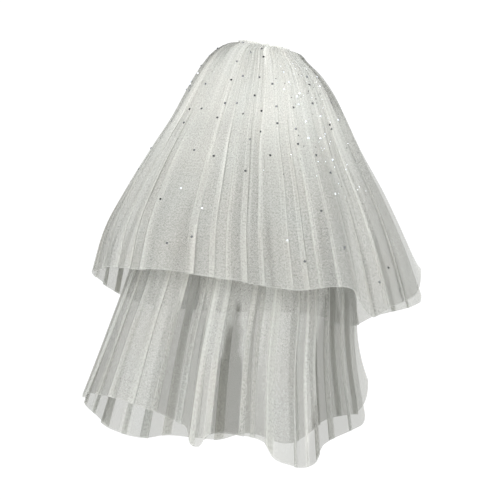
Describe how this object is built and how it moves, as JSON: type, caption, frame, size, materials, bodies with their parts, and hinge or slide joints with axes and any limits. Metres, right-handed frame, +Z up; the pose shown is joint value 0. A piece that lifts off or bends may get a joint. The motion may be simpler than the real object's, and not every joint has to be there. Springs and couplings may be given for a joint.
{
  "type": "bridal veil",
  "caption": "Short layered bridal veil of gathered tulle on a hair comb, in its worn hollow form: a short tier with scattered rhinestones over a longer plain one.",
  "frame": {"origin": "middle of the top of the comb's bar, where the hair holds the veil", "axes": "+Z up as worn, -Y towards the wearer's back, +X towards the opening between the side edges"},
  "size_m": [0.6427, 0.426, 0.8152],
  "materials": {
    "tulle": "fine hexagonal net of off-white nylon thread, half see-through, matt",
    "binding": "plain off-white woven tape, matt",
    "comb_plastic": "smooth clear-white plastic",
    "rhinestone": "faceted clear crystal with a silver back"
  },
  "bodies": {
    "root": {"comb": "comb_plastic", "heading_binding": "binding", "upper_tier_front": "tulle", "upper_tier_back": "tulle", "lower_tier_front": "tulle", "lower_tier_back": "tulle"}
  },
  "joints": []
}
